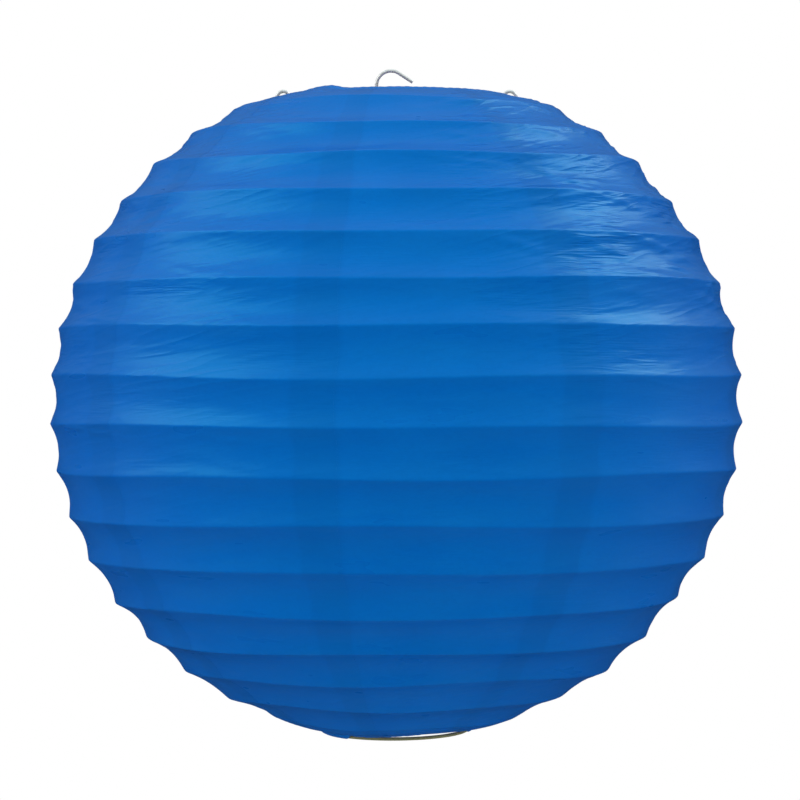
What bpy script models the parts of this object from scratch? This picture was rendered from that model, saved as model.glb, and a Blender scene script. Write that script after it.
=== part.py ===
"""A round paper lantern, stretched open on its wire frame and hung from the hook at its top.

Paper gores are glued over a stack of separate wire hoops, with a stiffer ring at each opening.
A frame of three bent wires holds the lantern open: a stem that ends in the hanging hook, a
crossbar whose curled tips carry the top ring, and a foot bar that presses on the bottom ring.

Units are metres and +Z is up. The origin is where a cord bears on the inside of the hook, level
with the lantern's axis, and heights named here are measured from the lantern's centre.
"""

import math

import bmesh
import bpy
from mathutils import Vector

# The lantern's outline: an ellipse through the ridges of the paper.
RIDGE_RADIUS = 0.150
RIDGE_HALF_HEIGHT = 0.145
HOOK_HEIGHT = 0.14395  # from the lantern's centre to the origin

# The hoops. An angle is the ellipse's own, from its top.
BANDS = 18  # strips of paper between neighbouring hoops
TOP_ANGLE = math.radians(19.9)
BOTTOM_ANGLE = math.radians(168.1)
LOW_BAND_STRETCH = math.radians(3.5)  # the bands below the middle are a little taller
HOOP_WIRE = 0.0005  # wire radius
HOOP_SLACK = 0.0001  # left beyond the gap, because the paper slants where it crosses a hoop
RING_WIRE = 0.00075
TOP_RING_RADIUS = 0.0492
TOP_RING_HEIGHT = 0.1340
BOTTOM_RING_RADIUS = 0.0310
BOTTOM_RING_HEIGHT = -0.1424
SEGMENTS = 32  # straight pieces round a hoop
WIRE_SIDES = 5

# The paper.
GORES = 8
PAPER = 0.0003  # thickness
VALLEY_DEPTH = 0.0028  # how far the paper falls in between two hoops
TOP_RIM = (0.0525, 0.1339)  # radius and height of the paper's edge round the top ring
TOP_HEM = (0.0519, 0.1350)
BOTTOM_RIM = (0.0342, -0.1412)
FIRST_GORE_ANGLE = math.radians(-101.25)

# The frame's wires.
FRAME_WIRE = 0.00075
GAP = 0.0003  # left between neighbouring pieces
COIL_GAP = 0.00035  # left round the stem inside a coil, and between a coil and the sleeve
BEND_STEP = math.radians(18)
HOOK_BEND_RADIUS = 0.0063
HOOK_BEND_CENTRE = (-0.0024, 0.1384)
HOOK_TIP_SLOPE = math.radians(33)
HOOK_TIP_LENGTH = 0.0071
NECK_TOP = 0.1369
NECK_BOTTOM = 0.1258
STOP_BEND_RADIUS = 0.0015
STOP_LENGTH = 0.0050
COIL_TURNS = 2
COIL_PITCH = 0.0019
COIL_STEPS = 12  # straight pieces in one turn
CROSSBAR_COIL_HEIGHT = 0.1191
ARM_STEPS = 9
ARM_EASE = 0.018  # how far each end of a crossbar arm runs level; a shorter bar's in proportion
CURL_SWEEP = math.radians(255)
SADDLE_SWEEP = math.radians(110)
SLEEVE_HEIGHT = 0.0034
SLEEVE_WALL = 0.00085
SLEEVE_SIDES = 16

RING_GRIP = RING_WIRE + GAP + FRAME_WIRE  # from the ring's centre line to a wire curled over it
COIL_RADIUS = FRAME_WIRE + COIL_GAP + FRAME_WIRE
FOOT_HEIGHT = BOTTOM_RING_HEIGHT + RING_GRIP
STOP_HEIGHT = FOOT_HEIGHT - GAP - 2 * FRAME_WIRE
SLEEVE_TOP = CROSSBAR_COIL_HEIGHT - FRAME_WIRE - COIL_GAP

STEEL = ("galvanised_wire", (0.55, 0.55, 0.54, 1.0), 0.32, 1.0)
RING_METAL = ("ring_wire", (0.33, 0.31, 0.16, 1.0), 0.38, 1.0)
HOOP_METAL = ("hoop_wire", (0.42, 0.42, 0.40, 1.0), 0.45, 1.0)
BLUE_PAPER = ("blue_paper", (0.0, 0.13, 0.48, 1.0), 0.45, 0.0)


def clear_scene():
    for obj in list(bpy.data.objects):
        bpy.data.objects.remove(obj, do_unlink=True)


def material(name, colour, roughness, metallic):
    made = bpy.data.materials.new(name)
    made.use_nodes = True
    shader = made.node_tree.nodes["Principled BSDF"]
    shader.inputs["Base Color"].default_value = colour
    shader.inputs["Roughness"].default_value = roughness
    shader.inputs["Metallic"].default_value = metallic
    return made


def add_object(name, data, look):
    """Places a piece made about the lantern's centre, so that its own origin is the lantern's centre."""
    obj = bpy.data.objects.new(name, data)
    bpy.context.scene.collection.objects.link(obj)
    data.materials.append(material(f"{name}_{look[0]}", *look[1:]))
    obj.location = (0.0, 0.0, -HOOK_HEIGHT)


def add_mesh(name, bm, look):
    bmesh.ops.recalc_face_normals(bm, faces=bm.faces)
    mesh = bpy.data.meshes.new(name)
    bm.to_mesh(mesh)
    bm.free()
    mesh.shade_smooth()
    mesh.set_sharp_from_angle(angle=math.radians(60))
    add_object(name, mesh, look)


def add_wire(name, points, radius, look, bevel_resolution=1):
    curve = bpy.data.curves.new(name, "CURVE")
    curve.dimensions = "3D"
    curve.bevel_depth = radius
    curve.bevel_resolution = bevel_resolution
    curve.use_fill_caps = True
    curve.resolution_u = 1
    curve.render_resolution_u = 0
    spline = curve.splines.new("POLY")
    spline.points.add(len(points) - 1)
    for place, point in zip(spline.points, points):
        place.co = (*point, 1.0)
    add_object(name, curve, look)


def hoop_angle(index):
    """The ellipse's angle at a hoop, counted from 0 at the top ring to BANDS at the bottom ring."""
    share = index / BANDS
    even = TOP_ANGLE + (BOTTOM_ANGLE - TOP_ANGLE) * share
    return even - LOW_BAND_STRETCH * share**2 * math.sin(math.pi * share)


def on_outline(angle, inset):
    """Radius and height of a point that is inset from the ellipse through the ridges."""
    radius = (RIDGE_RADIUS - inset) * math.sin(angle)
    height = (RIDGE_HALF_HEIGHT - inset) * math.cos(angle)
    return radius, height


def closed_hoop(name, radius, height, wire_radius, look):
    bm = bmesh.new()
    rows = []
    for turn in range(SEGMENTS):
        angle = 2 * math.pi * turn / SEGMENTS
        row = []
        for side in range(WIRE_SIDES):
            around = 2 * math.pi * side / WIRE_SIDES
            reach = radius + wire_radius * math.cos(around)
            lift = height + wire_radius * math.sin(around)
            row.append(bm.verts.new((reach * math.cos(angle), reach * math.sin(angle), lift)))
        rows.append(row)
    for turn in range(SEGMENTS):
        here = rows[turn]
        there = rows[(turn + 1) % SEGMENTS]
        for side in range(WIRE_SIDES):
            after = (side + 1) % WIRE_SIDES
            bm.faces.new((here[side], there[side], there[after], here[after]))
    add_mesh(name, bm, look)


def hoops_and_rings():
    closed_hoop("top_ring", TOP_RING_RADIUS, TOP_RING_HEIGHT, RING_WIRE, RING_METAL)
    for index in range(1, BANDS):
        inset = PAPER + GAP + HOOP_WIRE + HOOP_SLACK
        radius, height = on_outline(hoop_angle(index), inset)
        closed_hoop(f"rib_hoop_{index:02d}", radius, height, HOOP_WIRE, HOOP_METAL)
    closed_hoop("bottom_ring", BOTTOM_RING_RADIUS, BOTTOM_RING_HEIGHT, RING_WIRE, RING_METAL)


def paper_outline():
    """The paper's outer outline, top to bottom: a ridge over each hoop, a valley between two."""
    ridges = [TOP_RIM]
    ridges += [on_outline(hoop_angle(index), 0.0) for index in range(1, BANDS)]
    ridges += [BOTTOM_RIM]
    points = [TOP_HEM, ridges[0]]
    full_band = RIDGE_RADIUS * (BOTTOM_ANGLE - TOP_ANGLE) / BANDS
    for above, below in zip(ridges, ridges[1:]):
        middle = (Vector(above) + Vector(below)) / 2
        inward = -middle.normalized()
        band = (Vector(below) - Vector(above)).length
        depth = VALLEY_DEPTH * min(1.0, band / full_band)
        points.append(tuple(middle + inward * depth))
        points.append(below)
    return points


def inside_of(outline, thickness):
    """The same outline moved towards the lantern's middle, square to the paper."""
    moved = []
    for index, point in enumerate(outline):
        before = Vector(outline[max(index - 1, 0)])
        after = Vector(outline[min(index + 1, len(outline) - 1)])
        along = (after - before).normalized()
        inward = Vector((along.y, -along.x))
        if inward.dot(Vector(point)) > 0:
            inward = -inward
        moved.append(tuple(Vector(point) + inward * thickness))
    return moved


def paper_gore(name, start_angle):
    """One strip of paper from rim to rim. It stops short of its neighbours by half a gap each side."""
    outer = paper_outline()
    inner = inside_of(outer, PAPER)
    columns = SEGMENTS // GORES
    bm = bmesh.new()
    grid = []
    for column in range(columns + 1):
        nominal = start_angle + 2 * math.pi * column / SEGMENTS
        trim = {0: GAP / 2, columns: -GAP / 2}.get(column, 0.0)
        lines = []
        for profile in (outer, inner):
            line = []
            for radius, height in profile:
                angle = nominal + trim / radius
                line.append(bm.verts.new((radius * math.cos(angle), radius * math.sin(angle), height)))
            lines.append(line)
        grid.append(lines)
    last = len(outer) - 1
    for left, right in zip(grid, grid[1:]):
        for row in range(last):
            bm.faces.new((left[0][row], left[0][row + 1], right[0][row + 1], right[0][row]))
            bm.faces.new((left[1][row], right[1][row], right[1][row + 1], left[1][row + 1]))
        bm.faces.new((left[0][0], right[0][0], right[1][0], left[1][0]))
        bm.faces.new((left[0][last], left[1][last], right[1][last], right[0][last]))
    for edge, flip in ((grid[0], False), (grid[-1], True)):
        for row in range(last):
            corners = [edge[0][row], edge[1][row], edge[1][row + 1], edge[0][row + 1]]
            bm.faces.new(corners[::-1] if flip else corners)
    add_mesh(name, bm, BLUE_PAPER)


def paper_shade():
    for index in range(GORES):
        start = FIRST_GORE_ANGLE + 2 * math.pi * index / GORES
        paper_gore(f"paper_gore_{index + 1}", start)


def arc(centre, radius, start, sweep):
    """Points on an upright arc in the XZ plane. Angles go from +X towards +Z."""
    steps = max(2, math.ceil(abs(sweep) / BEND_STEP))
    points = []
    for step in range(steps + 1):
        angle = start + sweep * step / steps
        x = centre[0] + radius * math.cos(angle)
        z = centre[1] + radius * math.sin(angle)
        points.append(Vector((x, 0.0, z)))
    return points


def ease(start, end, level, steps):
    """A smooth run from start to end that leaves and arrives along level, both ends left out."""
    points = []
    for step in range(1, steps):
        t = step / steps
        a = start * (1 - t) ** 3
        b = (start + level) * 3 * t * (1 - t) ** 2
        c = (end - level) * 3 * t**2 * (1 - t)
        points.append(a + b + c + end * t**3)
    return points


def hanging_stem():
    """The hook, its neck and the straight stem, in one wire that ends in the foot bar's stop."""
    bend = arc(HOOK_BEND_CENTRE, HOOK_BEND_RADIUS, math.pi / 2 - HOOK_TIP_SLOPE, math.pi / 2 + HOOK_TIP_SLOPE)
    away = Vector((math.cos(HOOK_TIP_SLOPE), 0.0, -math.sin(HOOK_TIP_SLOPE)))
    points = [bend[0] + away * HOOK_TIP_LENGTH]
    points += bend
    leg_end = Vector((bend[-1].x, 0.0, NECK_TOP))
    stem_top = Vector((0.0, 0.0, NECK_BOTTOM))
    down = Vector((0.0, 0.0, -(NECK_TOP - NECK_BOTTOM) / 2))
    points += [leg_end, *ease(leg_end, stem_top, down, ARM_STEPS), stem_top]
    stop_centre = (STOP_BEND_RADIUS, STOP_HEIGHT + STOP_BEND_RADIUS)
    points += arc(stop_centre, STOP_BEND_RADIUS, math.pi, math.pi / 2)
    points.append(Vector((STOP_LENGTH, 0.0, STOP_HEIGHT)))
    add_wire("hanging_stem", points, FRAME_WIRE, STEEL, bevel_resolution=2)


def coil(height):
    """Two turns round the stem, entered and left along +X."""
    points = []
    for step in range(COIL_TURNS * COIL_STEPS + 1):
        turn = step / COIL_STEPS
        angle = 2 * math.pi * turn - math.pi / 2
        x = COIL_RADIUS * math.cos(angle)
        y = COIL_RADIUS * math.sin(angle)
        points.append(Vector((x, y, height + COIL_PITCH * turn)))
    return points


def sprung_bar(name, coil_height, end_radius, end_height, tip):
    """A bar with a coil in its middle, two arms, and the same tip on both ends."""
    middle = coil(coil_height)
    level = Vector((ARM_EASE * end_radius / TOP_RING_RADIUS, 0.0, 0.0))
    right_end = Vector((end_radius, 0.0, end_height))
    left_end = Vector((-end_radius, 0.0, end_height))
    mirrored = [Vector((-point.x, 0.0, point.z)) for point in reversed(tip)]
    left_arm = ease(left_end, middle[0], level, ARM_STEPS)
    right_arm = ease(middle[-1], right_end, level, ARM_STEPS)
    add_wire(name, mirrored + left_arm + middle + right_arm + tip, FRAME_WIRE, STEEL)


def top_crossbar():
    curl = arc((TOP_RING_RADIUS, TOP_RING_HEIGHT), RING_GRIP, -math.pi / 2, CURL_SWEEP)
    under_ring = TOP_RING_HEIGHT - RING_GRIP
    sprung_bar("top_crossbar", CROSSBAR_COIL_HEIGHT, TOP_RING_RADIUS, under_ring, curl)


def foot_bar():
    saddle = arc((BOTTOM_RING_RADIUS, BOTTOM_RING_HEIGHT), RING_GRIP, math.pi / 2, -SADDLE_SWEEP)
    sprung_bar("foot_bar", FOOT_HEIGHT, BOTTOM_RING_RADIUS, FOOT_HEIGHT, saddle)


def crimp_sleeve():
    """The sleeve crimped on the stem under the crossbar's coil, which it holds up."""
    inner = FRAME_WIRE + GAP
    outer = inner + SLEEVE_WALL
    bottom = SLEEVE_TOP - SLEEVE_HEIGHT
    corners = [(inner, bottom), (outer, bottom), (outer, SLEEVE_TOP), (inner, SLEEVE_TOP)]
    bm = bmesh.new()
    section = [bm.verts.new((radius, 0.0, height)) for radius, height in corners]
    edges = [bm.edges.new((section[i - 1], section[i])) for i in range(len(section))]
    bmesh.ops.spin(
        bm,
        geom=section + edges,
        cent=(0.0, 0.0, 0.0),
        axis=(0.0, 0.0, 1.0),
        angle=2 * math.pi,
        steps=SLEEVE_SIDES,
        use_merge=True,
    )
    bmesh.ops.remove_doubles(bm, verts=bm.verts, dist=1e-6)
    add_mesh("stem_crimp_sleeve", bm, STEEL)


clear_scene()
hoops_and_rings()
paper_shade()
hanging_stem()
top_crossbar()
foot_bar()
crimp_sleeve()
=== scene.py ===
"""A round blue paper lantern on wire hoops, held open by a wire frame and hung from its hook.

The gores of thin paper, the hoops, the two rings and the frame's wires are built here round the
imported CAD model. Units are metres and +Z is up. The origin is the inside of the hook.
"""

import math

import bpy
import numpy as np
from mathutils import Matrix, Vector


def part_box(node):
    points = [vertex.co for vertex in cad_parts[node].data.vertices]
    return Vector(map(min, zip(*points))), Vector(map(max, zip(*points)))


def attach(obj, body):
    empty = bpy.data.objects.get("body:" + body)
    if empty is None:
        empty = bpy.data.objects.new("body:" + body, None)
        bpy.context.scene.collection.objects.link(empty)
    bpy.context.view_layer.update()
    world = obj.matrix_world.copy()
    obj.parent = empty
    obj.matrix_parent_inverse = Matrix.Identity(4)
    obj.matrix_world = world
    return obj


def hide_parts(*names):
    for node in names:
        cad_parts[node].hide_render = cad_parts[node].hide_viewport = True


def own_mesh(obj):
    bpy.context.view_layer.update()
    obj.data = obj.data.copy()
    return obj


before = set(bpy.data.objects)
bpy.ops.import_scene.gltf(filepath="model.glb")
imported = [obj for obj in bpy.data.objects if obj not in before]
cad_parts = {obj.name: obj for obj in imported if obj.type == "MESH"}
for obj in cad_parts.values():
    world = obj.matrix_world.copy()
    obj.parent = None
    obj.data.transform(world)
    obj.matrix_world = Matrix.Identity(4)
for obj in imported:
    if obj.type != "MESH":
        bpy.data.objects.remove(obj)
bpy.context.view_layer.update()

BANDS = 18
GORES = 8
FULL_TURN = 2 * math.pi
CENTRE_HEIGHT = -0.14395  # the lantern's centre
FRONT = -math.pi / 2  # the angle round the axis that faces the viewer

# Wires, by radius.
HOOP_WIRE = 0.0005
RING_WIRE = 0.00075
FRAME_WIRE = 0.00075
WIRE_GAP = 0.0003

# The paper.
PAPER = 0.00010
RIDGE_STANDOFF = 0.0012  # from a hoop's centre line to the outside of the paper over it
VALLEY_DEPTH = 0.0028
RIDGE_ROUNDING = 0.10
LAP_CLEARANCE = 0.00001
THIN_EDGE = 0.3  # a gore's glued edge is pressed thinner than the rest
LAP_ANGLE = math.radians(6.6)
FRONT_GORE_ANGLE = math.radians(42.5)  # the two gores in front are cut a little narrower
FIRST_LAP = FRONT + math.radians(-12.6)
LAP_COLUMNS = 8
MIDDLE_COLUMNS = 70
BAND_ROWS = 22
HEM_ROWS = 9

random = np.random.default_rng(7)


# ---------------------------------------------------------------- the frame's own numbers


def ring_centre_line(node, wire):
    """Radius and height of a closed hoop's centre line."""
    low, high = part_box(node)
    return (high.x - low.x) / 2 - wire, (high.z + low.z) / 2


def outward(point):
    """The unit direction from the lantern's centre to a point given as radius and height."""
    away = np.array((point[0], point[1] - CENTRE_HEIGHT))
    return away / np.linalg.norm(away)


hoops = [ring_centre_line(f"rib_hoop_{index:02d}", HOOP_WIRE) for index in range(1, BANDS)]
top_ring = ring_centre_line("top_ring", RING_WIRE)
bottom_ring = ring_centre_line("bottom_ring", RING_WIRE)


# ---------------------------------------------------------------- how the real one wanders


def smooth_step(low, high, value):
    share = np.clip((value - low) / (high - low), 0.0, 1.0)
    return share * share * (3 - 2 * share)


def plateau(start, full, fading, end, value):
    """0 before start and after end, 1 from full to fading, and smooth between them."""
    return smooth_step(start, full, value) * (1 - smooth_step(fading, end, value))


def from_front(angle):
    """The angle from the front, between -pi and pi, positive towards +X."""
    return (np.asarray(angle) - FRONT + math.pi) % FULL_TURN - math.pi


def make_waves(rows, strongest, counts):
    """Random slow waves round the axis, a different set for each row."""
    phases = random.uniform(0, FULL_TURN, (rows, len(counts)))
    sizes = random.uniform(0.4, 1.0, (rows, len(counts))) * strongest / len(counts)

    def wave(row, angle):
        total = np.zeros(np.shape(angle))
        for place, count in enumerate(counts):
            total = total + sizes[row, place] * np.sin(count * angle + phases[row, place])
        return total

    return wave


# What wanders, with the size of its waves and how many go into a turn.
hoop_rise = make_waves(BANDS + 1, 0.0021, (1, 2, 3, 5))
hoop_reach = make_waves(BANDS + 1, 0.0004, (2, 3, 4))
valley_wave = make_waves(BANDS, 1.1, (3, 5, 8, 11, 17))
valley_shift = make_waves(BANDS, 0.30, (2, 5, 7, 13))
lap_sway = make_waves(GORES, 0.012, (9, 17, 26))
rim_edge = make_waves(2, 0.00022, (9, 23, 47, 83))

SAG_TILT = math.radians(0.30)  # the lower hoops hang a little low on the hook's closed side
SAG_DEPTHS = (-0.02, 0.09)  # the slump sets in between these depths below the centre
RING_TILT = math.radians(0.5)
RING_TILT_DEPTHS = (0.132, 0.1405)
TOP_RING_DROP = 0.0013  # the top ring hangs loose in the crossbar's curls
SIDE_DIP = 0.0006  # and lies a little lower at its sides
SIDE_DIP_REACH = math.radians(34)
BOTTOM_RING_LIFT = 0.0012  # the bottom ring dips in front and rises behind


def tilt_at(height):
    """How far the lantern has slumped towards -X at a height, as a slope."""
    depth = CENTRE_HEIGHT - height
    slump = SAG_TILT * smooth_step(*SAG_DEPTHS, depth)
    return slump + (RING_TILT - SAG_TILT) * smooth_step(*RING_TILT_DEPTHS, depth)


def slumped(x, height):
    """The height of a point at x once the lantern has slumped."""
    return height + tilt_at(height) * x


def top_drop_at(angle):
    """How low the top ring lies, round the axis."""
    side = np.abs(np.abs(from_front(angle)) - math.pi / 2)
    return TOP_RING_DROP + SIDE_DIP * np.exp(-((side / SIDE_DIP_REACH) ** 2))


def bottom_lift_at(angle):
    return BOTTOM_RING_LIFT * (1 - np.cos(from_front(angle)))


# ---------------------------------------------------------------- wires

SHARP_EDGE = math.radians(62)
HOOP_STEPS = 192
HOOP_SIDES = 10
RING_SIDES = 14


def closed_wire(name, centre_line, wire_at, sides):
    """A closed hoop of round wire. centre_line gives radius and height at an angle."""
    angles = np.arange(HOOP_STEPS) * FULL_TURN / HOOP_STEPS
    around = np.arange(sides) * FULL_TURN / sides
    radius, height = centre_line(angles)
    wire = wire_at(angles)
    reach = radius[:, None] + wire[:, None] * np.cos(around)
    lift = height[:, None] + wire[:, None] * np.sin(around)
    x = reach * np.cos(angles)[:, None]
    y = reach * np.sin(angles)[:, None]
    lift = slumped(x, lift)
    points = np.stack((x, y, lift), axis=-1).reshape(-1, 3)
    here = np.arange(HOOP_STEPS * sides).reshape(HOOP_STEPS, sides)
    there = np.roll(here, -1, axis=0)
    faces = np.stack((here, there, np.roll(there, -1, axis=1), np.roll(here, -1, axis=1)), axis=-1)
    return mesh_object(name, points, faces.reshape(-1, 4))


def mesh_object(name, points, faces):
    """A smooth-shaded mesh of four-cornered faces."""
    mesh = bpy.data.meshes.new(name)
    mesh.vertices.add(len(points))
    mesh.vertices.foreach_set("co", np.asarray(points, np.float32).ravel())
    mesh.loops.add(faces.size)
    mesh.loops.foreach_set("vertex_index", faces.astype(np.int32).ravel())
    mesh.polygons.add(len(faces))
    mesh.polygons.foreach_set("loop_start", np.arange(0, faces.size, 4, dtype=np.int32))
    mesh.update(calc_edges=True)
    mesh.validate()
    mesh.shade_smooth()
    mesh.set_sharp_from_angle(angle=SHARP_EDGE)
    made = bpy.data.objects.new(name, mesh)
    bpy.context.scene.collection.objects.link(made)
    return made


def finish_piece(piece, body, node, look):
    """Puts a new piece on its CAD body, in place of its CAD node."""
    piece.data.materials.append(look)
    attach(piece, body)
    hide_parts(node)


WELD_LENGTH = 0.0022
WELD_SWELL = 0.35
HOOP_WELD_MARGIN = 0.2  # the hoops' welds are all at the back, away from the sides
TOP_RING_WELD = 2.2
BOTTOM_RING_WELD = 1.9


def welded(wire, radius, weld_angle):
    """The wire's radius at each angle, swollen where the hoop's ends are welded together."""

    def wire_at(angles):
        away = np.abs((angles - weld_angle + math.pi) % FULL_TURN - math.pi) * radius
        return wire * (1 + WELD_SWELL * np.exp(-((away / WELD_LENGTH) ** 2)))

    return wire_at


def add_hoops(look):
    for index, (radius, height) in enumerate(hoops, start=1):

        def centre_line(angles, index=index, radius=radius, height=height):
            return radius + hoop_reach(index, angles), height + hoop_rise(index, angles)

        weld_angle = random.uniform(HOOP_WELD_MARGIN, math.pi - HOOP_WELD_MARGIN)
        wire_at = welded(HOOP_WIRE, radius, weld_angle)
        piece = closed_wire(f"hoop_wire_{index:02d}", centre_line, wire_at, HOOP_SIDES)
        finish_piece(piece, f"rib_{index:02d}", f"rib_hoop_{index:02d}", look)


def top_rise_at(angle):
    return -top_drop_at(angle)


def add_rings(look):
    for name, body, (radius, height), rise_at, weld_angle in (
        ("top_ring", "frame", top_ring, top_rise_at, TOP_RING_WELD),
        ("bottom_ring", "base", bottom_ring, bottom_lift_at, BOTTOM_RING_WELD),
    ):

        def centre_line(angles, radius=radius, height=height, rise_at=rise_at):
            return np.full(len(angles), radius), height + rise_at(angles)

        wire_at = welded(RING_WIRE, radius, weld_angle)
        piece = closed_wire(f"{name}_wire", centre_line, wire_at, RING_SIDES)
        finish_piece(piece, body, name, look)


# ---------------------------------------------------------------- the frame's bent wires

HOOK_BEND_RADIUS = 0.0063
HOOK_BEND_CENTRE = (-0.0024, CENTRE_HEIGHT + 0.1384)
HOOK_TIP_SLOPE = math.radians(33)
HOOK_TIP_LENGTH = 0.0071
NECK_TOP = CENTRE_HEIGHT + 0.1369
NECK_BOTTOM = CENTRE_HEIGHT + 0.1258
STOP_BEND_RADIUS = 0.0015
STOP_LENGTH = 0.0050
COIL_TURNS = 2
COIL_PITCH = 0.0019
COIL_GAP = 0.00035
COIL_RADIUS = 2 * FRAME_WIRE + COIL_GAP
CROSSBAR_COIL_HEIGHT = CENTRE_HEIGHT + 0.1191
ARM_EASE = 0.018
CURL_SWEEP = math.radians(255)
SADDLE_SWEEP = math.radians(110)
RING_GRIP = RING_WIRE + WIRE_GAP + FRAME_WIRE
FOOT_HEIGHT = bottom_ring[1] + RING_GRIP
STOP_HEIGHT = FOOT_HEIGHT - WIRE_GAP - 2 * FRAME_WIRE
BEND_STEP = math.radians(6)
EASE_STEPS = 24
COIL_STEPS = 36


def arc(centre, radius, start, sweep):
    """Points on an upright arc in the XZ plane."""
    steps = max(2, math.ceil(abs(sweep) / BEND_STEP))
    angles = [start + sweep * step / steps for step in range(steps + 1)]
    return [
        Vector((centre[0] + radius * math.cos(angle), 0.0, centre[1] + radius * math.sin(angle)))
        for angle in angles
    ]


def ease(start, end, level):
    """A smooth run from start to end that leaves and arrives along level, ends left out."""
    points = []
    for step in range(1, EASE_STEPS):
        t = step / EASE_STEPS
        a = start * (1 - t) ** 3
        b = (start + level) * 3 * t * (1 - t) ** 2
        c = (end - level) * 3 * t**2 * (1 - t)
        points.append(a + b + c + end * t**3)
    return points


def bent_wire(name, points, follow_slump=False):
    """A round wire along the points, with cut ends."""
    curve = bpy.data.curves.new(name, "CURVE")
    curve.dimensions = "3D"
    curve.bevel_depth = FRAME_WIRE
    curve.bevel_resolution = 4
    curve.use_fill_caps = True
    curve.resolution_u = 1
    spline = curve.splines.new("POLY")
    spline.points.add(len(points) - 1)
    for place, point in zip(spline.points, points):
        height = slumped(point.x, point.z) if follow_slump else point.z
        place.co = (point.x, point.y, float(height), 1.0)
    spline.use_smooth = True
    made = bpy.data.objects.new(name, curve)
    bpy.context.scene.collection.objects.link(made)
    return made


def stem_points():
    """The hook, its neck and the stem, down to the stop under the foot bar."""
    quarter = math.pi / 2
    bend = arc(HOOK_BEND_CENTRE, HOOK_BEND_RADIUS, quarter - HOOK_TIP_SLOPE, quarter + HOOK_TIP_SLOPE)
    away = Vector((math.cos(HOOK_TIP_SLOPE), 0.0, -math.sin(HOOK_TIP_SLOPE)))
    leg_end = Vector((bend[-1].x, 0.0, NECK_TOP))
    stem_top = Vector((0.0, 0.0, NECK_BOTTOM))
    down = Vector((0.0, 0.0, -(NECK_TOP - NECK_BOTTOM) / 2))
    stop_centre = (STOP_BEND_RADIUS, STOP_HEIGHT + STOP_BEND_RADIUS)
    foot = arc(stop_centre, STOP_BEND_RADIUS, math.pi, quarter)
    neck = ease(leg_end, stem_top, down)
    tip = bend[0] + away * HOOK_TIP_LENGTH
    return [tip, *bend, leg_end, *neck, stem_top, *foot, Vector((STOP_LENGTH, 0.0, STOP_HEIGHT))]


def coil_points(height):
    """The coil of a bar round the stem, upwards from a height."""
    points = []
    for step in range(COIL_TURNS * COIL_STEPS + 1):
        turn = step / COIL_STEPS
        angle = FULL_TURN * turn - math.pi / 2
        x = COIL_RADIUS * math.cos(angle)
        y = COIL_RADIUS * math.sin(angle)
        points.append(Vector((x, y, height + COIL_PITCH * turn)))
    return points


def sprung_bar_points(coil_height, end_radius, end_height, tip):
    """A bar with a coil in its middle, an arm to either side and a shaped tip on each arm."""
    middle = coil_points(coil_height)
    level = Vector((ARM_EASE * end_radius / top_ring[0], 0.0, 0.0))
    right_end = Vector((end_radius, 0.0, end_height))
    left_end = Vector((-end_radius, 0.0, end_height))
    mirrored = [Vector((-point.x, 0.0, point.z)) for point in reversed(tip)]
    left_arm = ease(left_end, middle[0], level)
    right_arm = ease(middle[-1], right_end, level)
    return mirrored + left_arm + middle + right_arm + tip


def add_frame_wires(look):
    stem = bent_wire("stem_and_hook", stem_points())
    finish_piece(stem, "frame", "hanging_stem", look)
    slack = (TOP_RING_DROP + SIDE_DIP) / 2
    curl = arc((top_ring[0], top_ring[1] - slack), RING_GRIP + slack, -math.pi / 2, CURL_SWEEP)
    end_height = top_ring[1] - RING_GRIP - 2 * slack
    points = sprung_bar_points(CROSSBAR_COIL_HEIGHT, top_ring[0], end_height, curl)
    crossbar = bent_wire("crossbar_wire", points)
    finish_piece(crossbar, "frame", "top_crossbar", look)
    saddle_centre = (bottom_ring[0], bottom_ring[1] + BOTTOM_RING_LIFT)
    saddle = arc(saddle_centre, RING_GRIP, math.pi / 2, -SADDLE_SWEEP)
    points = sprung_bar_points(FOOT_HEIGHT, bottom_ring[0], FOOT_HEIGHT + BOTTOM_RING_LIFT, saddle)
    foot_bar = bent_wire("foot_bar_wire", points, follow_slump=True)
    finish_piece(foot_bar, "base", "foot_bar", look)


SLEEVE_SIDES = 48
SLEEVE_ROWS = 25
SLEEVE_ROUNDING = 0.0002
SLEEVE_GAP = 0.00005
CRIMP_DEPTH = 0.00022
CRIMPS = 2
CRIMPED_SHARE = 0.45  # of the sleeve's length, either side of its middle


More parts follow.
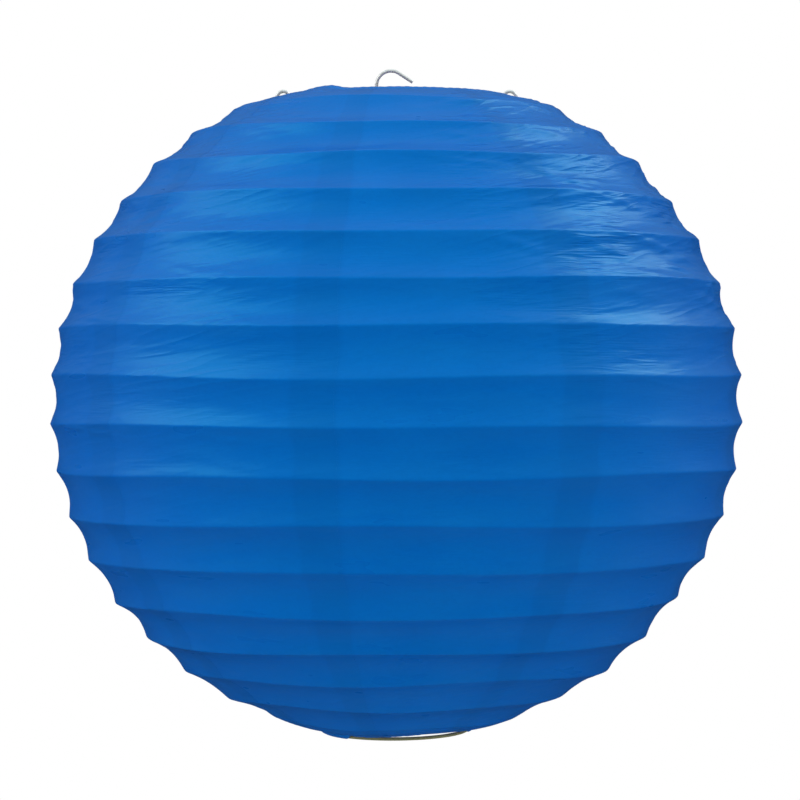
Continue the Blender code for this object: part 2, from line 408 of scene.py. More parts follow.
def add_sleeve(look):
    """The crimped sleeve, with a rounded edge at each end and the two dents of the crimping tool."""
    low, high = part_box("stem_crimp_sleeve")
    outer = (high.x - low.x) / 2
    inner = FRAME_WIRE + SLEEVE_GAP
    heights = np.linspace(low.z + SLEEVE_ROUNDING, high.z - SLEEVE_ROUNDING, SLEEVE_ROWS)
    rounded = outer - SLEEVE_ROUNDING
    profile = [(inner, low.z), (rounded, low.z)]
    profile += [(outer, height) for height in heights]
    profile += [(rounded, high.z), (inner, high.z)]
    angles = np.arange(SLEEVE_SIDES) * FULL_TURN / SLEEVE_SIDES
    points = []
    middle = (low.z + high.z) / 2
    length = high.z - low.z
    for radius, height in profile:
        share = (height - middle) / length
        crimped = abs(share) < CRIMPED_SHARE
        dent = math.cos(math.pi * CRIMPS * share) ** 2 if crimped else 0.0
        for angle in angles:
            pinch = dent * CRIMP_DEPTH * max(0.0, math.cos(2 * angle)) ** 2
            reach = radius - (pinch if radius > inner else 0.0)
            points.append((reach * math.cos(angle), reach * math.sin(angle), height))
    rows = len(profile)
    here = np.arange(rows * SLEEVE_SIDES).reshape(rows, SLEEVE_SIDES)
    below = np.roll(here, 1, axis=0)
    faces = np.stack((below, np.roll(below, -1, axis=1), np.roll(here, -1, axis=1), here), axis=-1)
    piece = mesh_object("crimp_sleeve", np.array(points), faces.reshape(-1, 4))
    finish_piece(piece, "frame", "stem_crimp_sleeve", look)


# ---------------------------------------------------------------- the paper


def lap_middles():
    """The middle of each lap, from gore 1's first edge round to gore 8's second."""
    wide = (FULL_TURN - 2 * FRONT_GORE_ANGLE) / (GORES - 2)
    middles = [FIRST_LAP]
    for gore in range(1, GORES + 1):
        middles.append(middles[-1] + (FRONT_GORE_ANGLE if gore in (1, GORES) else wide))
    return middles


# The outermost place of the rim at each opening, where the hem starts to turn over the ring.
TOP_RIM = (top_ring[0] + 0.0033, top_ring[1] - 0.0001)
BOTTOM_RIM = (bottom_ring[0] + 0.0032, bottom_ring[1] + 0.0012)


def ridge_points():
    """Radius and height of the paper's outside over each hoop, with its rim at either end."""
    ridges = [TOP_RIM]
    for hoop in hoops:
        ridges.append(tuple(np.array(hoop) + outward(hoop) * RIDGE_STANDOFF))
    ridges.append(BOTTOM_RIM)
    return np.array(ridges)


ridges = ridge_points()
widest = ridges[:, 0].max()
band_lengths = np.linalg.norm(np.diff(ridges, axis=0), axis=1)
band_starts = np.concatenate(([0.0], np.cumsum(band_lengths)))
lap_places = lap_middles()

# The hem at each opening, as radius and height from the ring's centre line: from the rim,
# over the ring and along the inside of it.
TOP_HEM = [
    (0.0025, 0.0004),
    (0.0012, 0.0009),
    (0.0000, 0.0011),
    (-0.0010, 0.0005),
    (-0.0012, -0.0050),
]
BOTTOM_HEM = [
    (0.0020, -0.0003),
    (0.0011, -0.0010),
    (-0.0003, -0.0010),
    (-0.0012, -0.0004),
    (-0.0012, 0.0045),
]
NOTCH_HALF = math.radians(6.0)  # the hem's cut round a wire that curls over the ring
NOTCH_EDGE = math.radians(5.0)
NOTCH_DEPTH = 0.0016


def along_path(points, steps):
    """Evenly spaced points along a path, its first point left out."""
    points = np.array(points)
    lengths = np.concatenate(([0.0], np.cumsum(np.linalg.norm(np.diff(points, axis=0), axis=1))))
    wanted = np.linspace(0.0, lengths[-1], steps + 1)[1:]
    return np.stack([np.interp(wanted, lengths, points[:, axis]) for axis in (0, 1)], axis=1)


def notch_at(angle):
    """1 where a frame wire passes the hem, on either side of the lantern, else 0."""
    side = np.minimum(np.abs(from_front(angle - FRONT)), np.abs(from_front(angle - FRONT + math.pi)))
    return 1 - smooth_step(NOTCH_HALF, NOTCH_HALF + NOTCH_EDGE, side)


BARE_FROM = math.radians(-43)  # the bottom ring is bare here, in front
BARE_TO = math.radians(80)
BARE_EDGE = math.radians(9)
BARE_BEHIND = [math.radians(degrees) for degrees in (125, 131, 160, 166)]
GAP_FROM = math.radians(-24)
GAP_TOP = math.radians(35)
GAP_TO = math.radians(60)
GAP_CLOSING = 0.7  # how far the gap closes again after its highest place
GAP_RAISE = 0.0009
LONG_STUB = (-0.0014, -0.0006)  # the hem where it just covers the top of the bare ring
SHORT_STUB = (-0.0003, -0.0001)


def bare_at(angle):
    """1 where the bottom hem stops short of the ring, else 0."""
    place = from_front(angle)
    front = plateau(BARE_FROM, BARE_FROM + BARE_EDGE, BARE_TO - BARE_EDGE, BARE_TO, place)
    return np.maximum(front, plateau(*BARE_BEHIND, place))


def raised_at(angle):
    """How much the paper's bottom edge is cut short above the bare ring, from 0 to 1."""
    place = from_front(angle)
    rise = smooth_step(GAP_FROM, GAP_TOP, place)
    return rise * (1 - GAP_CLOSING * smooth_step(GAP_TOP, GAP_TO, place))


RIM_PEAK = 0.0013  # one corner of a gore stands up a little over the top ring
RIM_PEAK_FROM = math.radians(-55)
RIM_PEAK_PLACE = math.radians(-35)
RIM_PEAK_TO = math.radians(-24)


def rim_peak_at(angle):
    place = from_front(angle)
    rise = smooth_step(RIM_PEAK_FROM, RIM_PEAK_PLACE, place)
    return RIM_PEAK * rise * (1 - smooth_step(RIM_PEAK_PLACE, RIM_PEAK_TO, place))


def ridge_at(index, angle):
    """Radius and height of the paper's outside over a hoop, round the axis."""
    over_hoop = 0 < index < BANDS
    radius = ridges[index][0] + hoop_reach(index, angle) * over_hoop
    height = ridges[index][1] + hoop_rise(index, angle) * over_hoop
    if index == 0:
        height = height - top_drop_at(angle) + rim_peak_at(angle) - NOTCH_DEPTH * notch_at(angle)
    if index == BANDS:
        height = height + GAP_RAISE * raised_at(angle) * bare_at(angle) + bottom_lift_at(angle)
    return np.stack((radius, height), axis=-1)


# The small creases, each with its own place, size and shape.
FOLD_COUNT = 1500
fold_gore_angle = random.uniform(-math.pi, math.pi, FOLD_COUNT)
fold_band = random.integers(0, BANDS, FOLD_COUNT)
fold_share = random.beta(1.3, 1.3, FOLD_COUNT)
fold_length = random.uniform(0.005, 0.024, FOLD_COUNT)
fold_width = random.uniform(0.0008, 0.0019, FOLD_COUNT)
fold_crisp = random.uniform(0, 1, FOLD_COUNT) < 0.55
fold_slant = random.normal(0.0, 0.16, FOLD_COUNT)
fold_skew = random.uniform(-1.0, 1.0, FOLD_COUNT)
fold_size = random.uniform(0.25, 1.0, FOLD_COUNT)
FOLD_DEPTH = 0.00055
FOLD_SHORTEST = 0.5  # how long a crease is where the lantern is narrow, next to its own length
FOLD_MARGIN = 0.4  # how far outside a gore a crease can start and still reach it
CRISP_FALL = 1.2
CRISP_SKEW = 0.5
SOFT_FALL = 0.5
SOFT_DIP = 0.6

# Where the paper is creased more, by angle from the front and by height above the centre.
CREASED_RIGHT = (0.12, 0.50, 1.5, 2.0)
CREASED_RIGHT_ABOVE = (0.0, 0.06)
CREASED_LEFT = (-1.9, -1.4, -0.65, -0.2)
CREASED_LEFT_ABOVE = (-0.05, 0.03)
CREASED_BEHIND = (1.7, 2.3)
CREASES_EVERYWHERE = 0.22
CREASES_RIGHT = 0.9
CREASES_LEFT = 0.5
CREASES_BEHIND = 0.45
CREASES_BEHIND_SWING = 0.25


def fold_strength(angle, height):
    """How creased the paper is at a place: most at the upper right, least in front and low down."""
    place = from_front(angle)
    up = height - CENTRE_HEIGHT
    right = plateau(*CREASED_RIGHT, place) * smooth_step(*CREASED_RIGHT_ABOVE, up)
    left = plateau(*CREASED_LEFT, place) * smooth_step(*CREASED_LEFT_ABOVE, up)
    swing = CREASES_BEHIND + CREASES_BEHIND_SWING * np.sin(3 * place + up * 40)
    back = smooth_step(*CREASED_BEHIND, np.abs(place)) * swing
    return CREASES_EVERYWHERE + CREASES_RIGHT * right + CREASES_LEFT * left + back


def folds_at(angle, arc_length):
    """The paper's small creases at points of a gore, as heights above the smooth paper."""
    total = np.zeros(angle.shape)
    low, high = angle.min() - FOLD_MARGIN, angle.max() + FOLD_MARGIN
    for fold in range(FOLD_COUNT):
        middle = fold_gore_angle[fold]
        middle = middle + FULL_TURN * round((0.5 * (low + high) - middle) / FULL_TURN)
        if not low < middle < high:
            continue
        band = fold_band[fold]
        place = band_starts[band] + fold_share[fold] * band_lengths[band]
        radius = np.interp(fold_share[fold], (0, 1), (ridges[band][0], ridges[band + 1][0]))
        height = np.interp(fold_share[fold], (0, 1), (ridges[band][1], ridges[band + 1][1]))
        along = (angle - middle) * radius
        across = arc_length - place
        turned = math.cos(fold_slant[fold]) * along + math.sin(fold_slant[fold]) * across
        side = math.cos(fold_slant[fold]) * across - math.sin(fold_slant[fold]) * along
        near = side / fold_width[fold]
        skew = fold_skew[fold]
        if fold_crisp[fold]:
            shape = np.exp(-CRISP_FALL * np.abs(near)) * (1 + CRISP_SKEW * skew * np.tanh(near))
        else:
            shape = np.exp(-SOFT_FALL * near**2) * (1 - SOFT_DIP * near**2 + skew * near)
        strength = fold_strength(middle, height) * fold_size[fold] * FOLD_DEPTH
        reach = fold_length[fold] * (FOLD_SHORTEST + radius / widest)
        total += strength * shape * np.exp(-((turned / reach) ** 2))
    return total


def gore_columns(first_lap, last_lap):
    """The angles of a gore's columns. Both gores of a lap have the same columns in it."""
    half = LAP_ANGLE / 2
    under = np.linspace(first_lap - half, first_lap + half, LAP_COLUMNS + 1)
    middle = np.linspace(first_lap + half, last_lap - half, MIDDLE_COLUMNS + 1)
    over = np.linspace(last_lap - half, last_lap + half, LAP_COLUMNS + 1)
    return np.concatenate((under[:-1], middle[:-1], over))


ROW_CROWDING = 0.09


def band_shares():
    """Rows of a band, from its upper hoop to its lower one, closer together near the hoops."""
    even = np.arange(BAND_ROWS) / BAND_ROWS
    return even - ROW_CROWDING * np.sin(FULL_TURN * even)


VALLEY_VARIETY = 0.35
HOOP_HOLD = 0.75  # the share of a crease that the glue over a hoop holds flat
HOOP_HOLD_REACH = 0.0016
# How hollow these bands are, next to the others. Below 0 a band bulges.
ODD_BANDS = {0: -0.20, 1: 0.7, 14: 0.9, 15: 0.5, 16: 0.5, BANDS - 1: -0.35}


def gore_surface(gore):
    """The outside of a gore as a grid: its columns' angles, then radius, height and path length."""
    first, last = lap_places[gore - 1], lap_places[gore]
    columns = gore_columns(first, last)
    spans = []
    for index in range(BANDS):
        spans += [(index, share) for share in band_shares()]
    spans.append((BANDS - 1, 1.0))
    radius = np.zeros((len(spans), len(columns)))
    height = np.zeros_like(radius)
    way_r = np.zeros_like(radius)
    way_z = np.zeros_like(radius)
    arc_length = np.zeros_like(radius)
    near_hoop = np.zeros_like(radius)
    for row, (band, share) in enumerate(spans):
        above = ridge_at(band, columns)
        below = ridge_at(band + 1, columns)
        bent = share + valley_shift(band, columns) * share * (1 - share)
        rest = above + (below - above) * share
        full = min(1.0, band_lengths[band] / band_lengths.max())
        hollow = 4 * bent * (1 - bent)
        hollow = np.sqrt(hollow**2 + RIDGE_ROUNDING**2) - RIDGE_ROUNDING
        depth = VALLEY_DEPTH * full * hollow * (1 + VALLEY_VARIETY * valley_wave(band, columns))
        depth = depth * ODD_BANDS.get(band, 1.0)
        way = outward(ridges[band] + (ridges[band + 1] - ridges[band]) * share)
        radius[row] = rest[:, 0] - depth * way[0]
        height[row] = rest[:, 1] - depth * way[1]
        way_r[row], way_z[row] = way
        arc_length[row] = band_starts[band] + share * band_lengths[band]
        near_hoop[row] = min(share, 1 - share) * band_lengths[band]
    angle = np.broadcast_to(columns, radius.shape).copy()
    held = HOOP_HOLD * np.exp(-((near_hoop / HOOP_HOLD_REACH) ** 2))
    crease = folds_at(angle, arc_length) * (1 - held)
    radius += crease * way_r
    height += crease * way_z
    return columns, radius, height, arc_length


HEM_STEP = 0.0012  # the paper from one row of a hem to the next
STUB_TUCK = 0.0002


def path_over(ring, rim, hem):
    """The hem's rows, from its rim over a ring, as radius and height from the ring's centre line."""
    return along_path([(rim[0] - ring[0], rim[1] - ring[1]), *hem], HEM_ROWS)


def add_hems(columns, radius, height, arc_length):
    """Adds the rows that turn over each ring, or stop short of it."""
    rim = rim_edge(0, columns) + rim_peak_at(columns) - top_drop_at(columns)
    ragged = rim_edge(1, columns)
    cut_short = raised_at(columns)
    top_path = path_over(top_ring, TOP_RIM, TOP_HEM)
    low_path = path_over(bottom_ring, BOTTOM_RIM, BOTTOM_HEM)
    notch = notch_at(columns)
    bare = np.maximum(bare_at(columns), notch)
    top_rows, low_rows = [], []
    for step in range(HEM_ROWS):
        share = (step + 1) / HEM_ROWS
        wrapped_r = top_ring[0] + top_path[step][0]
        wrapped_z = top_ring[1] + top_path[step][1] + rim
        stub_r = radius[0] - STUB_TUCK * share
        stub_z = height[0] + STUB_TUCK * share
        row = (wrapped_r + (stub_r - wrapped_r) * notch, wrapped_z + (stub_z - wrapped_z) * notch)
        top_rows.append(row)
        wrapped_r = bottom_ring[0] + low_path[step][0]
        wrapped_z = bottom_ring[1] + low_path[step][1] + bottom_lift_at(columns)
        stub_r = radius[-1] + (LONG_STUB[0] + (SHORT_STUB[0] - LONG_STUB[0]) * cut_short) * share
        stub_z = height[-1] + (LONG_STUB[1] + (SHORT_STUB[1] - LONG_STUB[1]) * cut_short + ragged) * share
        row = (wrapped_r + (stub_r - wrapped_r) * bare, wrapped_z + (stub_z - wrapped_z) * bare)
        low_rows.append(row)
    top_rows.reverse()
    radius = np.vstack([row[0] for row in top_rows] + [radius] + [row[0] for row in low_rows])
    height = np.vstack([row[1] for row in top_rows] + [height] + [row[1] for row in low_rows])
    level = np.zeros(len(columns))
    before = -HEM_STEP * np.arange(HEM_ROWS, 0, -1)[:, None] + level
    after = arc_length[-1, 0] + HEM_STEP * np.arange(1, HEM_ROWS + 1)[:, None] + level
    return radius, height, np.vstack([before, arc_length, after])


def grid_normals(points):
    """Unit normals of a grid of points, pointing away from the lantern."""
    down = np.gradient(points, axis=0)
    round_it = np.gradient(points, axis=1)
    normals = np.cross(down, round_it)
    normals /= np.linalg.norm(normals, axis=2, keepdims=True)
    return normals


def shell_faces(rows, columns):
    """Faces of a closed thin shell, whose inner layer's points come after its outer layer's."""
    grid = np.arange(rows * columns).reshape(rows, columns)
    inner = grid + rows * columns

    def patch(a):
        return np.stack((a[:-1, :-1], a[1:, :-1], a[1:, 1:], a[:-1, 1:]), axis=-1).reshape(-1, 4)

    def strip(a, b):
        return np.stack((a[:-1], b[:-1], b[1:], a[1:]), axis=-1)

    edges = [
        strip(inner[0], grid[0]),
        strip(grid[-1], inner[-1]),
        strip(grid[:, 0], inner[:, 0]),
        strip(inner[:, -1], grid[:, -1]),
    ]
    return np.concatenate([patch(grid), patch(inner)[:, ::-1], *edges])


def add_attribute(mesh, name, kind, values):
    """Gives the points of a thin shell their values, the same on its outer and inner layers."""
    field = mesh.attributes.new(name, kind, "POINT")
    key = "vector" if kind == "FLOAT_VECTOR" else "value"
    layer = np.asarray(values, np.float32).ravel()
    field.data.foreach_set(key, np.concatenate((layer, layer)))


STREAK_SKEW = 0.2
CUT_SHIFT = 0.37  # each gore is cut from another part of the sheet
SWAY_FADE = 4.0  # in halves of a lap, as are the next two
SPREAD_FADE = 2.2
LAP_SHADE = 1.25
SWAY_LENGTH = 0.15


def add_paper_attributes(mesh, gore, angle, height, arc_length, lap):
    """What the paper's material reads at each point.

    cut lies flat on the gore. wrap and skewed go on across the laps without a seam.
    """
    flat = (angle * widest, arc_length, np.full_like(angle, CUT_SHIFT * gore))
    round_it = (np.cos(angle) * widest, np.sin(angle) * widest)
    skew = STREAK_SKEW * widest * np.sin(from_front(angle))
    add_attribute(mesh, "cut", "FLOAT_VECTOR", np.stack(flat, axis=-1))
    add_attribute(mesh, "wrap", "FLOAT_VECTOR", np.stack((*round_it, arc_length), axis=-1))
    add_attribute(mesh, "skewed", "FLOAT_VECTOR", np.stack((*round_it, arc_length + skew), axis=-1))
    # lap carries where the material paints shade over the double layer of paper.
    add_attribute(mesh, "lap", "FLOAT", np.broadcast_to(lap, angle.shape))
    add_attribute(mesh, "creased", "FLOAT", fold_strength(angle, height))


def pressed(lap_start, columns):
    """The paper's thickness at each column, thinner and thinner across a lap."""
    across = np.clip((columns - lap_start) / LAP_ANGLE, 0.0, 1.0)
    return PAPER * (1 - (1 - THIN_EDGE) * across)


def add_gore(gore, look):
    """Adds a paper strip."""
    columns, radius, height, arc_length = gore_surface(gore)
    radius, height, arc_length = add_hems(columns, radius, height, arc_length)
    first, last = lap_places[gore - 1], lap_places[gore]
    half = LAP_ANGLE / 2
    angle = np.broadcast_to(columns, radius.shape).copy()
    # The laps' edges wander a little, the same way in both gores of a lap.
    for middle, place in ((first, (gore - 1) % GORES), (last, gore % GORES)):
        nearby = 1 - smooth_step(half, SWAY_FADE * half, np.abs(angle - middle))
        angle += nearby * lap_sway(place, arc_length / SWAY_LENGTH)
    # The first edge lies under the gore before it, whose last edge is pressed thin.
    under = pressed(first - half, columns) + LAP_CLEARANCE
    spread = under * (1 - smooth_step(first + half, first + SPREAD_FADE * half, columns))
    thickness = pressed(last - half, columns)
    x = radius * np.cos(angle)
    y = radius * np.sin(angle)
    z = slumped(x, height)
    outer = np.stack((x, y, z), axis=-1)
    normals = grid_normals(outer)
    outer = outer - normals * spread[None, :, None]
    inner = outer - normals * thickness[None, :, None]
    points = np.concatenate((outer.reshape(-1, 3), inner.reshape(-1, 3)))
    faces = shell_faces(*radius.shape)
    piece = mesh_object(f"paper_strip_{gore}", points, faces)
    # Where two gores lap. The material paints the paper darker there, as shade of the double layer.
    lap = np.maximum(
        1 - smooth_step(first + half, first + LAP_SHADE * half, columns),
        smooth_step(last - LAP_SHADE * half, last - half, columns),
    )
    add_paper_attributes(piece.data, gore, angle, height, arc_length, lap)
    finish_piece(piece, "frame", f"paper_gore_{gore}", look)
    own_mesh(piece)


def add_paper(look):
    for gore in range(1, GORES + 1):
        add_gore(gore, look)


# ---------------------------------------------------------------- materials


CREST_WIDTH = 0.16


class Nodes:
    """A short way to build a node material."""

    def __init__(self, name):
        self.material = bpy.data.materials.new(name)
        self.material.use_nodes = True
        self.tree = self.material.node_tree
        self.shader = self.tree.nodes["Principled BSDF"]
        self.output = self.tree.nodes["Material Output"]

    def add(self, kind, **settings):
        node = self.tree.nodes.new(kind)
        for key, value in settings.items():
            setattr(node, key, value)
        return node

    def link(self, source, target):
        self.tree.links.new(source, target)

    def attribute(self, name, output):
        return self.add("ShaderNodeAttribute", attribute_name=name).outputs[output]

    def noise(self, vector, scale, detail, roughness=0.55):
        node = self.add("ShaderNodeTexNoise")
        node.inputs["Scale"].default_value = scale
        node.inputs["Detail"].default_value = detail
        node.inputs["Roughness"].default_value = roughness
        self.link(vector, node.inputs["Vector"])
        return node.outputs["Fac"]

    def stretched(self, vector, scale, turn=0.0):
        node = self.add("ShaderNodeMapping")
        node.inputs["Scale"].default_value = scale
        node.inputs["Rotation"].default_value = (0.0, 0.0, turn)
        self.link(vector, node.inputs["Vector"])
        return node.outputs["Vector"]

    def ranged(self, value, low, high, to_low, to_high):
        node = self.add("ShaderNodeMapRange")
        self.link(value, node.inputs["Value"])
        limits = {"From Min": low, "From Max": high, "To Min": to_low, "To Max": to_high}
        for key, number in limits.items():
            node.inputs[key].default_value = number
        return node.outputs["Result"]

    def times(self, first, second):
        node = self.add("ShaderNodeMath", operation="MULTIPLY")
        self.link(first, node.inputs[0])
        self.link(second, node.inputs[1])
        return node.outputs[0]

    def crest(self, value):
        """Turns a soft noise into sharp creases: highest where the noise passes its middle."""
        centred = self.add("ShaderNodeMath", operation="SUBTRACT")
        self.link(value, centred.inputs[0])
        centred.inputs[1].default_value = 0.5
        size = self.add("ShaderNodeMath", operation="ABSOLUTE")
        self.link(centred.outputs[0], size.inputs[0])
        return self.ranged(size.outputs[0], 0.0, CREST_WIDTH, 1.0, 0.0)

    def mixed(self, share, first, second):
        """A mix of two colours, each a fixed colour or a socket."""
        node = self.add("ShaderNodeMix", data_type="RGBA")
        self.link(share, node.inputs[0])
        for socket, value in ((node.inputs[6], first), (node.inputs[7], second)):
            if isinstance(value, tuple):
                socket.default_value = (*value, 1.0)
            else:
                self.link(value, socket)
        return node.outputs[2]

    def bump(self, height, distance, strength, after=None):
        node = self.add("ShaderNodeBump")
        node.inputs["Distance"].default_value = distance
        node.inputs["Strength"].default_value = strength
        self.link(height, node.inputs["Height"])
        if after is not None:
            self.link(after, node.inputs["Normal"])
        return node.outputs["Normal"]


PAPER_BLUE = (0.0, 0.144, 0.565)
PAPER_PALE = (0.0, 0.156, 0.590)
PAPER_DEEP = (0.0, 0.112, 0.490)
PAPER_GLOW = 0.45  # the share of light that goes through the paper
PAPER_SHEEN = 0.95
SHEEN_TINT = (0.06, 0.88, 1.0, 1.0)
FIBRE_SHADE = 0.35
# How much darker the paper is painted where two gores lap, as painted shade of the double layer.
LAP_PAINTED_SHADE = 0.30

# The scale of each noise in the paper, and how it is stretched along the bands.
CLOUD_SCALE = 22.0
FIBRE_SCALE, FIBRE_STRETCH, FIBRE_TURN = 420.0, (1.0, 2.2, 1.0), 0.4
PATCH_SCALE, PATCH_STRETCH = 42.0, (0.5, 0.5, 1.0)
STREAK_SCALE, STREAK_STRETCH = 380.0, (0.07, 0.07, 1.0)
SLANTED_SCALE, SLANTED_STRETCH = 200.0, (0.11, 0.11, 1.0)
WAVE_SCALE, WAVE_STRETCH = 110.0, (0.2, 0.2, 1.0)
TOOTH_SCALE = 2600.0


def paper_colour(n, cut):
    """Blue with pale clouds and deeper fibres, and darker where two gores lap: painted shade for the
    light that a double layer lets through less.
    """
    clouds = n.noise(cut, CLOUD_SCALE, 4.0)
    fibres = n.noise(n.stretched(cut, FIBRE_STRETCH, FIBRE_TURN), FIBRE_SCALE, 4.0, 0.65)
    colour = n.mixed(n.ranged(clouds, 0.35, 0.65, 0.0, 1.0), PAPER_BLUE, PAPER_PALE)
    colour = n.mixed(n.ranged(fibres, 0.40, 0.72, 0.0, FIBRE_SHADE), colour, PAPER_DEEP)
    # Painted shade: darker where two gores lap, as if the double layer let less light through.
    lap = n.attribute("lap", "Fac")
    return n.mixed(n.ranged(lap, 0.0, 1.0, 0.0, LAP_PAINTED_SHADE), colour, PAPER_DEEP)


def paper_normal(n, cut, wrap, waves):
    """Slow waves, then slanted and level streaks where the paper is creased, then its tooth."""
    creased = n.attribute("creased", "Fac")
    skewed = n.attribute("skewed", "Vector")
    patches = n.noise(n.stretched(wrap, PATCH_STRETCH), PATCH_SCALE, 2.0)
    patches = n.ranged(patches, 0.47, 0.66, 0.04, 1.0)
    streaks = n.crest(n.noise(n.stretched(wrap, STREAK_STRETCH), STREAK_SCALE, 2.0))
    slanted = n.crest(n.noise(n.stretched(skewed, SLANTED_STRETCH), SLANTED_SCALE, 1.5, 0.5))
    tooth = n.noise(cut, TOOTH_SCALE, 2.0)
    crossed = n.times(n.times(streaks, patches), creased)
    normal = n.bump(waves, 0.0005, 0.45)
    normal = n.bump(n.times(slanted, creased), 0.00045, 0.50, normal)
    normal = n.bump(crossed, 0.00040, 0.60, normal)
    return n.bump(tooth, 0.00002, 0.30, normal)


def paper_material():
    n = Nodes("blue_paper_sheet")
    cut = n.attribute("cut", "Vector")
    wrap = n.attribute("wrap", "Vector")
    waves = n.noise(n.stretched(wrap, WAVE_STRETCH), WAVE_SCALE, 2.0)
    colour = paper_colour(n, cut)
    normal = paper_normal(n, cut, wrap, waves)
    n.link(colour, n.shader.inputs["Base Color"])
    n.link(normal, n.shader.inputs["Normal"])
    n.link(n.ranged(waves, 0.3, 0.7, 0.27, 0.37), n.shader.inputs["Roughness"])
    n.shader.inputs["Specular IOR Level"].default_value = PAPER_SHEEN
    n.shader.inputs["Specular Tint"].default_value = SHEEN_TINT
    glow = n.add("ShaderNodeBsdfTranslucent")
    n.link(colour, glow.inputs["Color"])
    n.link(normal, glow.inputs["Normal"])
    both = n.add("ShaderNodeMixShader")
    both.inputs[0].default_value = PAPER_GLOW
    n.link(n.shader.outputs[0], both.inputs[1])
    n.link(glow.outputs[0], both.inputs[2])
    n.link(both.outputs[0], n.output.inputs["Surface"])
    return n.material


WIRE_SHINE = 0.55  # drawn wire under a dull coat of zinc


def wire_material(name, pale, dark, rough, scale):
    n = Nodes(name)
    place = n.add("ShaderNodeTexCoord").outputs["Object"]
    blotch = n.noise(place, scale, 4.0)
    grain = n.noise(place, scale * 9, 2.0)
    n.link(n.mixed(n.ranged(blotch, 0.35, 0.65, 0.0, 1.0), dark, pale), n.shader.inputs["Base Color"])
    n.shader.inputs["Metallic"].default_value = WIRE_SHINE
    n.link(n.ranged(grain, 0.3, 0.7, rough - 0.06, rough + 0.08), n.shader.inputs["Roughness"])
    n.link(n.bump(grain, 0.00002, 0.4), n.shader.inputs["Normal"])
    return n.material


# ---------------------------------------------------------------- studio and camera

CAMERA_DISTANCE = 1.44
CAMERA_RISE = math.radians(0.5)
FOCAL_LENGTH = 149.0
SENSOR = 36.0
AIM = Vector((0.0015, 0.0, CENTRE_HEIGHT + 0.0017))
FILL_LIGHT = 1.58
WHITE = (1.0, 1.0, 1.0)
SHEEN_COLOUR = (0.70, 0.95, 1.0)  # the studio's colour in a reflection
HORIZON_SHEEN = 0.03  # how bright it is there, level and overhead
CEILING_SHEEN = 0.85
HORIZON_EDGE = 0.1
FLOOR_HEIGHT = -2.40
FLOOR_RADIUS = 12.0
FLOOR_SIDES = 96
FLOOR_RINGS = 6


def add_camera():
    data = bpy.data.cameras.new("camera")
    data.lens = FOCAL_LENGTH
    data.sensor_width = SENSOR
    data.clip_start = 0.01
    data.clip_end = 100.0
    camera = bpy.data.objects.new("camera", data)
    back = Vector((0.0, -math.cos(CAMERA_RISE), math.sin(CAMERA_RISE)))
    camera.location = AIM + back * CAMERA_DISTANCE
    camera.rotation_mode = "QUATERNION"
    camera.rotation_quaternion = (-back).to_track_quat("-Z", "Y")
    bpy.context.scene.collection.objects.link(camera)
    bpy.context.scene.camera = camera


def add_softbox(name, place, size, power):
    data = bpy.data.lights.new(name, "AREA")
    data.shape = "RECTANGLE"
    data.size, data.size_y = size
    data.energy = power
    lamp = bpy.data.objects.new(name, data)
    lamp.location = place
    target = Vector((0.0, 0.0, CENTRE_HEIGHT))
    lamp.rotation_mode = "QUATERNION"
    lamp.rotation_quaternion = (target - lamp.location).to_track_quat("-Z", "Y")
    bpy.context.scene.collection.objects.link(lamp)


def background(node, colour, strength):
    node.inputs["Color"].default_value = (*colour, 1.0)
    node.inputs["Strength"].default_value = strength
    return node.outputs[0]


def chosen(tree, share, first, second):
    """A mix of two shaders, for a light path's share that is 0 or 1."""
    node = tree.nodes.new("ShaderNodeMixShader")
    for place, socket in enumerate((share, first, second)):
        tree.links.new(socket, node.inputs[place])
    return node.outputs[0]


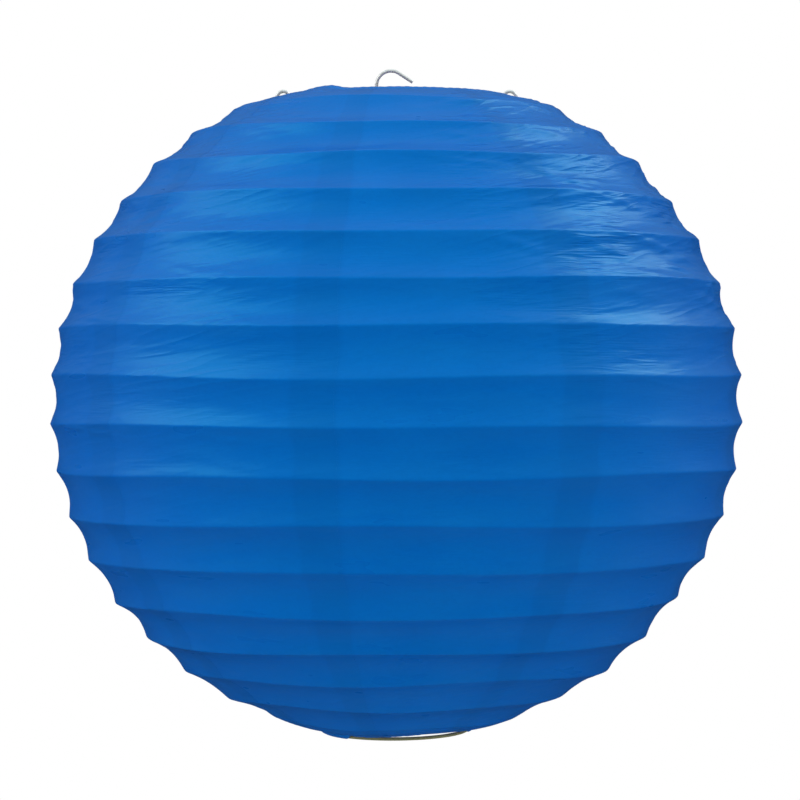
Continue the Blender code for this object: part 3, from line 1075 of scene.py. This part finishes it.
def add_studio():
    """White light from all round, a ceiling that shows in reflections, and two softboxes."""
    world = bpy.data.worlds.new("studio")
    bpy.context.scene.world = world
    world.use_nodes = True
    tree = world.node_tree
    fill = background(tree.nodes["Background"], WHITE, FILL_LIGHT)
    backdrop = background(tree.nodes.new("ShaderNodeBackground"), WHITE, 1.0)
    overhead = tree.nodes.new("ShaderNodeBackground")
    sheen = background(overhead, SHEEN_COLOUR, CEILING_SHEEN)
    ceiling = tree.nodes.new("ShaderNodeMapRange")
    ceiling.inputs["From Min"].default_value = HORIZON_EDGE
    ceiling.inputs["From Max"].default_value = 1.0
    ceiling.inputs["To Min"].default_value = HORIZON_SHEEN
    ceiling.inputs["To Max"].default_value = CEILING_SHEEN
    direction = tree.nodes.new("ShaderNodeTexCoord")
    parts = tree.nodes.new("ShaderNodeSeparateXYZ")
    tree.links.new(direction.outputs["Generated"], parts.inputs[0])
    tree.links.new(parts.outputs["Z"], ceiling.inputs["Value"])
    tree.links.new(ceiling.outputs["Result"], overhead.inputs["Strength"])
    path = tree.nodes.new("ShaderNodeLightPath")
    light = chosen(tree, path.outputs["Is Glossy Ray"], fill, sheen)
    seen = chosen(tree, path.outputs["Is Camera Ray"], light, backdrop)
    tree.links.new(seen, tree.nodes["World Output"].inputs["Surface"])
    add_softbox("left_box", Vector((-1.60, -0.35, 0.95)), (1.5, 1.5), 12.0)
    add_softbox("right_box", Vector((1.38, 0.50, 1.22)), (1.0, 1.0), 11.0)


def add_floor():
    points = [(0.0, 0.0, FLOOR_HEIGHT)]
    faces = []
    for ring in range(1, FLOOR_RINGS + 1):
        radius = FLOOR_RADIUS * ring / FLOOR_RINGS
        for side in range(FLOOR_SIDES):
            angle = FULL_TURN * side / FLOOR_SIDES
            points.append((radius * math.cos(angle), radius * math.sin(angle), FLOOR_HEIGHT))
    for side in range(FLOOR_SIDES):
        after = (side + 1) % FLOOR_SIDES
        faces.append((0, 1 + side, 1 + after))
        for ring in range(FLOOR_RINGS - 1):
            a = 1 + ring * FLOOR_SIDES
            b = a + FLOOR_SIDES
            faces.append((a + side, b + side, b + after, a + after))
    mesh = bpy.data.meshes.new("floor")
    mesh.from_pydata(points, [], faces)
    floor = bpy.data.objects.new("floor", mesh)
    n = Nodes("pale_floor")
    place = n.add("ShaderNodeTexCoord").outputs["Object"]
    tone = n.ranged(n.noise(place, 3.0, 3.0), 0.3, 0.7, 0.0, 1.0)
    n.link(n.mixed(tone, (0.64, 0.64, 0.64), (0.68, 0.68, 0.675)), n.shader.inputs["Base Color"])
    n.shader.inputs["Roughness"].default_value = 0.8
    mesh.materials.append(n.material)
    bpy.context.scene.collection.objects.link(floor)
    floor.visible_glossy = False


def main():
    bpy.context.scene.view_settings.view_transform = "Standard"
    add_camera()
    add_studio()
    add_floor()
    steel = wire_material(
        "bright_steel", pale=(0.80, 0.80, 0.78), dark=(0.58, 0.58, 0.56), rough=0.22, scale=900.0
    )
    olive = wire_material(
        "olive_ring", pale=(0.34, 0.34, 0.17), dark=(0.24, 0.24, 0.12), rough=0.50, scale=700.0
    )
    plain = wire_material(
        "plain_hoop", pale=(0.50, 0.50, 0.48), dark=(0.36, 0.36, 0.34), rough=0.38, scale=800.0
    )
    add_hoops(plain)
    add_rings(olive)
    add_frame_wires(steel)
    add_sleeve(steel)
    add_paper(paper_material())


main()
